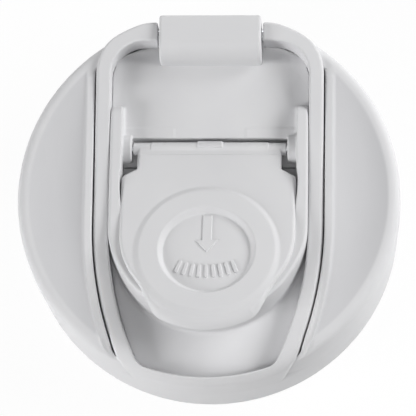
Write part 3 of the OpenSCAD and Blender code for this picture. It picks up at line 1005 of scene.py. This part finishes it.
@dataclass
class FlipCap:
    """Hinged cap with its raised ring and thumb dimple."""

    at: CapFrame
    half: float = 20.4
    round_u: float = 22.88
    top_w: float = 1.4
    under_w: float = -1.0
    under_r: float = 0.4
    over: float = 0.15
    neck_half: float = 16.9
    neck_u: float = 5.9
    neck_r: float = 0.2
    neck_fillet: float = 0.3
    shoulder_u: float = 8.0
    shoulder_r: float = 0.5
    lip_u: float = 47.9
    lip_r: float = 21.1
    lip_root: Point = (14.4, 38.4)
    lip_corner: Point = (11.5, 44.5)
    lip_corner_r: float = 0.7
    lip_back_u: float = 34.9
    lip_fillet: float = 0.6
    dimple_u: float = 28.1
    dimple_r: float = 11.0
    dimple_depth: float = 1.4
    dimple_over: float = 0.6
    dimple_flank: float = 1.5
    ring_r: float = 16.5
    ring_h: float = 0.7
    ring_flank: float = 1.8
    flank_ease: float = 0.8  # keeps the field near a true distance on the flanks
    # the edge's round grows towards the lip's nose
    edge_r: float = 0.8
    nose_r: float = 2.8
    nose_start: float = 7.0
    nose_run: float = 4.0
    barrel_r: float = 1.52
    barrel_half: float = 18.1
    barrel_end_r: float = 0.25
    barrel_fillet: float = 0.15
    sleeve_t: float = 0.15
    sleeve_inset: float = 4.2
    nib_t: float = 0.45
    nib_half: float = 3.0
    nib_r: float = 0.25
    nib_fillet: float = 0.3
    crease_u: float = 1.9
    crease_half: float = 0.25
    crease_deep: float = 0.12
    crease_r: float = 0.1
    box_front: float = 0.4
    box_low_z: float = 19.8
    box_back_y: float = 15.0
    step: float = 0.26

    def outline(self, x: Array, u: Array) -> Array:
        """Field of the cap's outline in its own plane.

        Args:
            x: across the cap.
            u: distance from the hinge.

        Returns:
            The field.
        """
        ax = np.abs(x)
        main_plan = np.hypot(x, np.maximum(u - self.round_u, 0)) - self.half
        shoulder = past_line(ax, u, (self.neck_half, self.neck_u), (self.half, self.shoulder_u))
        rear_u, neck_end_u = self.neck_u - HIDDEN_MM, self.shoulder_u + 2 * HIDDEN_MM
        main_plan = both(main_plan, all_of(shoulder, rear_u - u), self.shoulder_r)
        neck = both(ax - self.neck_half, slab(u, 0.0, neck_end_u), self.neck_r)
        rear = either(main_plan, neck, self.neck_fillet)
        return either(rear, self.lip(x, u, 0.0), self.lip_fillet)

    def lip(self, x: Array, u: Array, margin: float) -> Array:
        """Field of the lip's outline.

        Args:
            x: across the cap.
            u: distance from the hinge.
            margin: width added all round.

        Returns:
            The field.
        """
        nose = np.hypot(x, u - self.lip_u + self.lip_r) - self.lip_r - margin
        side = past_line(np.abs(x), u, self.lip_root, self.lip_corner) - margin
        return all_of(both(nose, side, self.lip_corner_r), self.lip_back_u - u)

    def top_at(self, rho: Array) -> Array:
        """Height of the cap's top: a raised ring with soft flanks round a dimple.

        Args:
            rho: distance from the dimple's axis.

        Returns:
            w of the top.
        """
        ring = soft_step((self.ring_r + self.ring_flank / 2 - rho) / self.ring_flank)
        bowl = soft_step((self.dimple_r + self.dimple_over - rho) / self.dimple_flank)
        return self.top_w + self.ring_h * ring - self.dimple_depth * bowl

    def solid(self, x: Array, y: Array, z: Array) -> Array:
        """Field of the cap.

        Args:
            x: across the lid.
            y: front to back.
            z: height.

        Returns:
            The field.
        """
        u, w = self.at.local(y, z)
        ax = np.abs(x)
        top = (w - self.top_at(np.hypot(x, u - self.dimple_u))) * self.flank_ease
        to_nose = soft_step((u - self.lip_u + self.nose_start) / self.nose_run)
        edge_r = self.edge_r + (self.nose_r - self.edge_r) * to_nose
        plate = both(self.outline(x, u) - self.over, top, edge_r)
        plate = both(plate, self.under_w - w, self.under_r)
        crease = both(u - self.crease_u - self.crease_half, self.crease_u - self.crease_half - u,
                      self.crease_r)
        plate = without(plate, all_of(crease, self.top_w - self.crease_deep - w), self.crease_r)
        barrel_side = self.at.axis_distance(y, z) - self.barrel_r
        barrel = any_of(
            both(barrel_side, ax - self.barrel_half, self.barrel_end_r),
            both(barrel_side - self.sleeve_t, ax - self.barrel_half + self.sleeve_inset,
                 self.sleeve_t))
        nib = both(barrel_side - self.nib_t, ax - self.nib_half, self.nib_r)
        nib = all_of(nib, self.at.hinge_y - y, self.at.hinge_z - z)
        return either(either(plate, barrel, self.barrel_fillet), nib, self.nib_fillet)

    def build(self, finishes: Finishes) -> list[bpy.types.Object]:
        """Builds and dresses the cap.

        Args:
            finishes: material of each slot.

        Returns:
            The cap and its relief.
        """
        front_y = self.at.world(self.lip_u, 0.0)[0] - self.box_front
        high_z = self.at.world(self.lip_u, self.top_w + self.ring_h)[1]
        obj = mesh_piece("cap_moulding", self.solid, (-self.half, front_y, self.box_low_z),
                         (self.half, self.box_back_y, high_z), self.step)
        relief = CapRelief(self.at, self.top_w + self.ring_h - self.dimple_depth)
        return [place(obj, Body.CAP, Slot.WHITE, finishes, "flip_cap")] + relief.build(finishes)


@dataclass
class SpoutDeck:
    """Deck between the wings: back floor, U collar with ears, sloped spout face and apron."""

    plan: Plan
    cap: FlipCap
    deck_r: float = 42.4
    deck_over: float = 0.42
    flange_t: float = 1.4
    flange_over: float = 0.05
    floor_z: float = 22.5
    floor_corner_r: float = 7.9
    floor_r: float = 0.15
    apron_z: float = 21.2
    apron_drop: float = 0.9
    apron_flat_r: float = 36.7
    apron_over: float = 0.3
    pad_h: float = 0.12
    pad_w: float = 3.0
    pad_x: float = 8.0
    pad_soft: float = 0.8
    collar_r: float = 23.1
    collar_wall: float = 2.35
    collar_draft: float = 0.09
    collar_y: float = -8.8
    collar_in_y: float = -9.8
    collar_front_y: float = -7.0
    collar_front_run: float = 14.0
    collar_fillet: float = 0.9
    ear_slack: float = 0.4
    ear_swell: float = 0.28
    ear_z: float = 27.0
    ear_back_y: float = 22.4
    ear_r: float = 3.1
    rim_drop: float = 1.5
    rim_blend: float = 1.2
    rim_out_r: float = 0.8
    rim_in_r: float = 0.3
    # clearance round the cap: close at the hinge, free at its shoulders, tucked under it in front
    tuck: float = 0.3
    fit: float = 0.15
    neck_slack: float = 0.05
    open_u: float = 6.0
    open_run: float = 2.5
    close_u: float = 10.0
    close_run: float = 9.0
    lip_room_r: float = 0.3
    skin: float = 1.8
    face_w: float = -3.2
    face_u: float = 3.2
    face_over: float = 0.3
    mouth_r: float = 7.5
    mouth_edge_r: float = 0.3
    bead_half: float = 1.0
    bead_h: float = 0.12
    bead_r: float = 0.1
    throat_r: float = 8.6
    tube_r: float = 10.4
    tube_z: float = 12.6
    tube_top: float = 0.5
    tube_over: float = 0.2
    mouth_y: float = -15.64
    boss_r: float = 3.3
    boss_x: float = 18.4
    boss_edge_r: float = 0.4
    boss_fillet: float = 0.3
    slot_y: float = 15.0
    well_y: float = 8.6
    wall_y: float = 10.4
    trough_low_z: float = 18.0
    trough_z: float = 20.1
    trough_over: float = 0.3
    bed_y: float = 33.0
    sill_y: float = 27.0
    sill_z: float = 20.4
    bed_gap: float = -0.2
    swing_r: float = 4.65
    swing_x: float = 12.0
    roll_r: float = 2.2
    seat_half: float = 11.9
    seat_y: float = 33.3
    box_over: float = 0.1
    box_z: float = 33.2
    step: float = 0.33

    def collar(self, x: Array, y: Array, z: Array) -> Array:
        """Field of the collar's wall with its rising rim and its ears.

        Args:
            x: across the lid.
            y: front to back.
            z: height.

        Returns:
            The field.
        """
        front = soft_step((self.collar_front_y - y) / self.collar_front_run)
        outside = np.hypot(x, np.minimum(y - self.collar_y, 0)) - self.collar_r
        outside = outside + front * self.collar_draft * np.maximum(z - self.apron_z, 0)
        outside = outside - (1 - front) * self.ear_swell
        # the rim follows the cap's slope at the front and runs level over the ears
        slope = self.cap.at.height(y, self.cap.top_w - self.rim_drop)
        rim = z - (self.ear_z + slope + np.hypot(self.ear_z - slope, self.rim_blend)) / 2
        ear_end = both(y - self.ear_back_y, rim, self.ear_r)
        return all_of(both(outside, ear_end, self.rim_out_r),
                      both(-self.inside(x, y, z), ear_end, self.rim_in_r))

    def inside(self, x: Array, y: Array, z: Array) -> Array:
        """Field of the space inside the collar's wall, which leans in at the top to meet the cap.

        Args:
            x: across the lid.
            y: front to back.
            z: height.

        Returns:
            The field.
        """
        u, _ = self.cap.at.local(y, z)
        upright = np.hypot(x, np.minimum(y - self.collar_in_y, 0))
        upright = upright - self.collar_r + self.collar_wall - self.ear_slack
        opens = soft_step((u - self.open_u) / self.open_run)
        closes = soft_step((u - self.close_u) / self.close_run)
        slack = self.ear_slack * opens * (1 - closes)
        slack = slack + self.neck_slack * (1 - opens) - self.tuck * closes
        fitted = np.hypot(x, np.maximum(u - self.cap.round_u, 0)) - self.cap.half - self.fit - slack
        return all_of(upright, fitted)

    def levels(self, x: Array, y: Array, z: Array) -> Array:
        """Field of the back floor, with its two low pads, and of the front apron.

        Args:
            x: across the lid.
            y: front to back.
            z: height.

        Returns:
            The field.
        """
        p = self.plan
        r = np.hypot(x, y)
        plan = p.bail_inner(x, y, -p.deck_gap, self.floor_corner_r)
        plan = all_of(plan, r - self.deck_r - self.deck_over)
        pad = soft_step((self.slot_y + self.pad_w - y) / self.pad_soft)
        pad = pad * soft_step((np.abs(x) - self.pad_x) / self.pad_soft)
        floor = both(plan, z - self.floor_z - self.pad_h * pad, self.floor_r)
        run = self.deck_r + self.apron_over - self.apron_flat_r
        fall = np.clip((r - self.apron_flat_r) / run, 0, 1)
        apron_top = z - self.apron_z + self.apron_drop * (1 - np.sqrt(1 - fall ** 2))
        apron = both(plan, apron_top, self.floor_r)
        return any_of(all_of(floor, self.slot_y - y), all_of(apron, y - self.collar_y))

    def well(self, x: Array, y: Array, z: Array, inside: Array) -> Array:
        """Field of what lies inside the collar: the spout's face with its mouth and the trough.

        Args:
            x: across the lid.
            y: front to back.
            z: height.
            inside: field of the space inside the collar.

        Returns:
            The field.
        """
        u, w = self.cap.at.local(y, z)
        narrow = np.abs(x) - self.collar_r + HIDDEN_MM
        face = all_of(inside - self.face_over, slab(w, self.face_w - self.skin, self.face_w),
                      self.face_u - u)
        rho = np.hypot(x, u - self.cap.dimple_u)
        bead = both(np.abs(rho - self.mouth_r - self.bead_half) - self.bead_half,
                    slab(w, self.face_w - HIDDEN_MM, self.face_w + self.bead_h), self.bead_r)
        face = without(any_of(face, bead), rho - self.mouth_r, self.mouth_edge_r)
        back_wall = all_of(slab(y, self.well_y, self.wall_y), narrow, w - self.face_w)
        trough = all_of(slab(y, self.well_y, self.slot_y + self.trough_over), narrow,
                        slab(z, self.trough_low_z, self.trough_z))
        return any_of(face, back_wall, trough)

    def ledges(self, x: Array, y: Array, z: Array) -> Array:
        """Field of the flange under the arms and the steps under the bail's back.

        Args:
            x: across the lid.
            y: front to back.
            z: height.

        Returns:
            The field.
        """
        p = self.plan
        within = np.hypot(x, y) - self.deck_r
        flange = all_of(p.bail_outer(x, y, self.flange_over), within, z - p.deck_z - self.flange_t)
        back = all_of(p.bail_outer(x, y, self.bed_gap), within)
        bed = all_of(back, z - self.floor_z, self.bed_y - y)
        sill = all_of(back, z - self.sill_z, self.sill_y - y)
        return any_of(flange, bed, sill)

    def solid(self, x: Array, y: Array, z: Array) -> Array:
        """Field of the deck.

        Args:
            x: across the lid.
            y: front to back.
            z: height.

        Returns:
            The field.
        """
        p, at = self.plan, self.cap.at
        u, w = at.local(y, z)
        ax = np.abs(x)
        low = p.deck_z - z
        inside = self.inside(x, y, z)
        body = either(self.levels(x, y, z), all_of(self.collar(x, y, z), low), self.collar_fillet)
        # open well inside the collar, over the spout's face and in front of the floor
        body = all_of(body, -all_of(inside, y - self.slot_y, low - HIDDEN_MM))
        body = any_of(body, self.well(x, y, z, inside), self.ledges(x, y, z))
        cavity = all_of(inside + self.face_over, w - self.face_w + self.skin, y - self.well_y)
        from_throat = np.hypot(x, y - self.mouth_y)
        middle, thick = (self.tube_r + self.throat_r) / 2, (self.tube_r - self.throat_r) / 2
        tube = all_of(np.abs(from_throat - middle) - thick, w - self.face_w + self.tube_top,
                      self.tube_z - z)
        body = any_of(all_of(body, -cavity), tube)
        near_tube = from_throat < self.tube_r + self.tube_over
        body = all_of(body, np.where(near_tube, self.tube_z - z, low))
        boss = both(at.axis_distance(y, z) - self.boss_r,
                    slab(ax, self.boss_x, self.collar_r - HIDDEN_MM), self.boss_edge_r)
        body = either(body, boss, self.boss_fillet)
        lip_room = all_of(self.cap.lip(x, u, -self.tuck), self.cap.under_w + self.tuck - w)
        body = without(body, lip_room, self.lip_room_r)
        from_hinge = np.hypot(y - p.bail_hinge_y, z - p.bail_hinge_z)
        swing = all_of(from_hinge - self.swing_r, self.swing_x - ax)
        seat = all_of(ax - self.seat_half, self.seat_y - y, p.ledge_z - z)
        return all_of(without(body, swing, self.roll_r), -seat)

    def build(self, finishes: Finishes) -> list[bpy.types.Object]:
        """Builds and dresses the deck.

        Args:
            finishes: material of each slot.

        Returns:
            The piece.
        """
        half = self.plan.arm_out + self.box_over
        obj = mesh_piece("deck_moulding", self.solid,
                         (-half, -self.deck_r - self.deck_over, self.tube_z),
                         (half, self.deck_r, self.box_z), self.step)
        return [place(obj, Body.LID, Slot.WHITE, finishes, "spout_deck")]


@dataclass
class HiddenParts:
    """Pieces kept as the solids give them: liner, gasket, O-ring, seal and the two pins."""

    nodes: dict[str, Slot] = field(default_factory=lambda: {
        "thread_liner": Slot.LINER, "mouth_gasket": Slot.SILICONE, "throat_ring": Slot.SILICONE,
        "spout_seal": Slot.SILICONE, "bail_pin": Slot.STEEL, "flap_pin": Slot.STEEL})

    def build(self, finishes: Finishes) -> list[bpy.types.Object]:
        """Gives each piece its finish.

        Args:
            finishes: material of each slot.

        Returns:
            The pieces.
        """
        dressed = []
        for name, slot in self.nodes.items():
            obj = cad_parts[name]
            obj.data.materials.clear()
            obj.data.materials.append(finishes[slot])
            dressed.append(obj)
        return dressed


# Camera and light.


def direction(azimuth_deg: float, elevation_deg: float) -> Vector:
    """Unit vector from the lid towards a compass direction: 0 is the front, 90 the right."""
    a, e = math.radians(azimuth_deg), math.radians(elevation_deg)
    return Vector((math.sin(a) * math.cos(e), -math.cos(a) * math.cos(e), math.sin(e)))


@dataclass
class PhotoCamera:
    """Camera at the photograph's viewing angle."""

    elevation_deg: float = 74.0
    azimuth_deg: float = 11.0
    roll_deg: float = 10.56
    distance_mm: float = 800.0
    target_mm: tuple[float, float, float] = (-0.08, -2.77, 25.0)
    lens_mm: float = 295.18
    sensor_mm: float = 36.0
    clip_m: Point = (0.05, 10.0)

    def build(self) -> None:
        """Makes the camera and sets it as the scene's own."""
        a, t = math.radians(self.azimuth_deg), math.radians(self.roll_deg)
        back = direction(self.azimuth_deg, self.elevation_deg)
        right = Vector((math.cos(a), math.sin(a), 0.0))
        up = back.cross(right)
        turned = right * math.cos(t) - up * math.sin(t)
        upright = right * math.sin(t) + up * math.cos(t)
        data = bpy.data.cameras.new("photo_camera")
        data.lens, data.sensor_width, data.sensor_fit = self.lens_mm, self.sensor_mm, "HORIZONTAL"
        data.clip_start, data.clip_end = self.clip_m
        camera = bpy.data.objects.new("photo_camera", data)
        spot = (Vector(self.target_mm) + back * self.distance_mm) * MM
        turn = Matrix((turned, upright, back)).transposed().to_4x4()
        camera.matrix_world = Matrix.Translation(spot) @ turn
        bpy.context.scene.collection.objects.link(camera)
        bpy.context.scene.camera = camera


@dataclass(frozen=True)
class SoftLamp:
    """A square soft panel aimed at the lid."""

    name: str
    azimuth_deg: float
    elevation_deg: float
    watts: float
    distance_mm: float = 700.0
    side_mm: float = 300.0
    aim_mm: float = 20.0

    def build(self) -> None:
        """Adds the lamp."""
        away = direction(self.azimuth_deg, self.elevation_deg) * self.distance_mm * MM
        data = bpy.data.lights.new(self.name, "AREA")
        data.shape, data.size, data.energy = "SQUARE", self.side_mm * MM, self.watts
        lamp = bpy.data.objects.new(self.name, data)
        lamp.location = away + Vector((0.0, 0.0, self.aim_mm * MM))
        lamp.rotation_mode = "QUATERNION"
        lamp.rotation_quaternion = (-away).to_track_quat("-Z", "Y")
        lamp.visible_camera = False
        bpy.context.scene.collection.objects.link(lamp)


@dataclass
class Studio:
    """Pale floor, white surroundings and soft panels round the lid."""

    floor_half_mm: float = 1500.0
    ambient: float = 0.1
    floor_tone: str = "#F4F4F4"
    floor_white: float = 0.94
    white: tuple[float, float, float, float] = (1, 1, 1, 1)
    lamps: tuple[SoftLamp, ...] = (
        SoftLamp("right_panel", 90.0, 34.0, 1.9), SoftLamp("right_back_panel", 120.0, 27.0, 2.6),
        SoftLamp("left_panel", 300.0, 25.0, 3.4),
        SoftLamp("low_back_panel", 180.0, 8.0, 1.0, side_mm=200.0),
        SoftLamp("high_front_panel", 0.0, 63.0, 0.63))

    def seen_directly(self, tree: bpy.types.NodeTree) -> bpy.types.NodeSocket:
        """Factor that is 1 for what the camera sees, also through gloss and clear material.

        Args:
            tree: the node tree.

        Returns:
            The factor's socket.
        """
        path = add_node(tree, "ShaderNodeLightPath")
        seen = path.outputs["Is Camera Ray"]
        for kind in ("Is Glossy Ray", "Is Transmission Ray"):
            larger = add_node(tree, "ShaderNodeMath", {"operation": "MAXIMUM"},
                              {0: seen, 1: path.outputs[kind]})
            seen = larger.outputs[0]
        return seen

    def build_world(self) -> None:
        """White surroundings: full white to the eye, softer as light."""
        world = bpy.data.worlds.new("studio")
        world.use_nodes = True
        tree = world.node_tree
        tree.nodes.clear()
        soft, full = (add_node(tree, "ShaderNodeBackground", None, {
            "Color": self.white, "Strength": strength}) for strength in (self.ambient, 1.0))
        mix = add_node(tree, "ShaderNodeMixShader", None, {
            0: self.seen_directly(tree), 1: soft.outputs[0], 2: full.outputs[0]})
        add_node(tree, "ShaderNodeOutputWorld", None, {"Surface": mix.outputs[0]})
        bpy.context.scene.world = world

    def build_floor(self) -> None:
        """Pale floor that reads as white and keeps a light shadow."""
        h = self.floor_half_mm * MM
        mesh = bpy.data.meshes.new("floor")
        mesh.from_pydata([(-h, -h, 0), (h, -h, 0), (h, h, 0), (-h, h, 0)], [], [(0, 1, 2, 3)])
        floor = bpy.data.objects.new("floor", mesh)
        bpy.context.scene.collection.objects.link(floor)
        made = bpy.data.materials.new("pale studio floor")
        made.use_nodes = True
        tree = made.node_tree
        tree.nodes.clear()
        matt = add_node(tree, "ShaderNodeBsdfDiffuse", None, {"Color": srgb(self.floor_tone)})
        glow = add_node(tree, "ShaderNodeEmission", None, {"Color": self.white, "Strength": 1.0})
        eye = add_node(tree, "ShaderNodeMixShader", None, {
            0: self.floor_white, 1: matt.outputs[0], 2: glow.outputs[0]})
        mix = add_node(tree, "ShaderNodeMixShader", None, {
            0: self.seen_directly(tree), 1: matt.outputs[0], 2: eye.outputs[0]})
        add_node(tree, "ShaderNodeOutputMaterial", None, {"Surface": mix.outputs[0]})
        mesh.materials.append(made)

    def build(self) -> None:
        """Builds the whole studio."""
        self.build_world()
        self.build_floor()
        for lamp in self.lamps:
            lamp.build()


def main() -> None:
    """Builds the lid, its finishes, the studio and the camera."""
    logging.basicConfig(level=logging.INFO, format="%(message)s")
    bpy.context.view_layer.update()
    bpy.context.scene.view_settings.view_transform = "Standard"
    PhotoCamera().build()
    Studio().build()
    liner = MouldedPlastic(name="plain moulded polypropylene", pale="#DCDCDC", deep="#D3D3D4",
                           grain_mm=0.5)
    finishes = {Slot.WHITE: MouldedPlastic().material(), Slot.LINER: liner.material(),
                Slot.SILICONE: MilkySilicone().material(), Slot.STEEL: GroundSteel().material()}
    plan = Plan()
    cap = FlipCap(CapFrame())
    lid: list[SubAssembly] = [OuterShell(plan), SpoutDeck(plan, cap), HingeBlock(), CarryBail(plan),
                              cap, HiddenParts()]
    for part in lid:
        for obj in part.build(finishes):
            LOG.info("%s: %s, %d points", type(part).__name__, obj.name, len(obj.data.vertices))


if __name__ == "__main__":
    main()
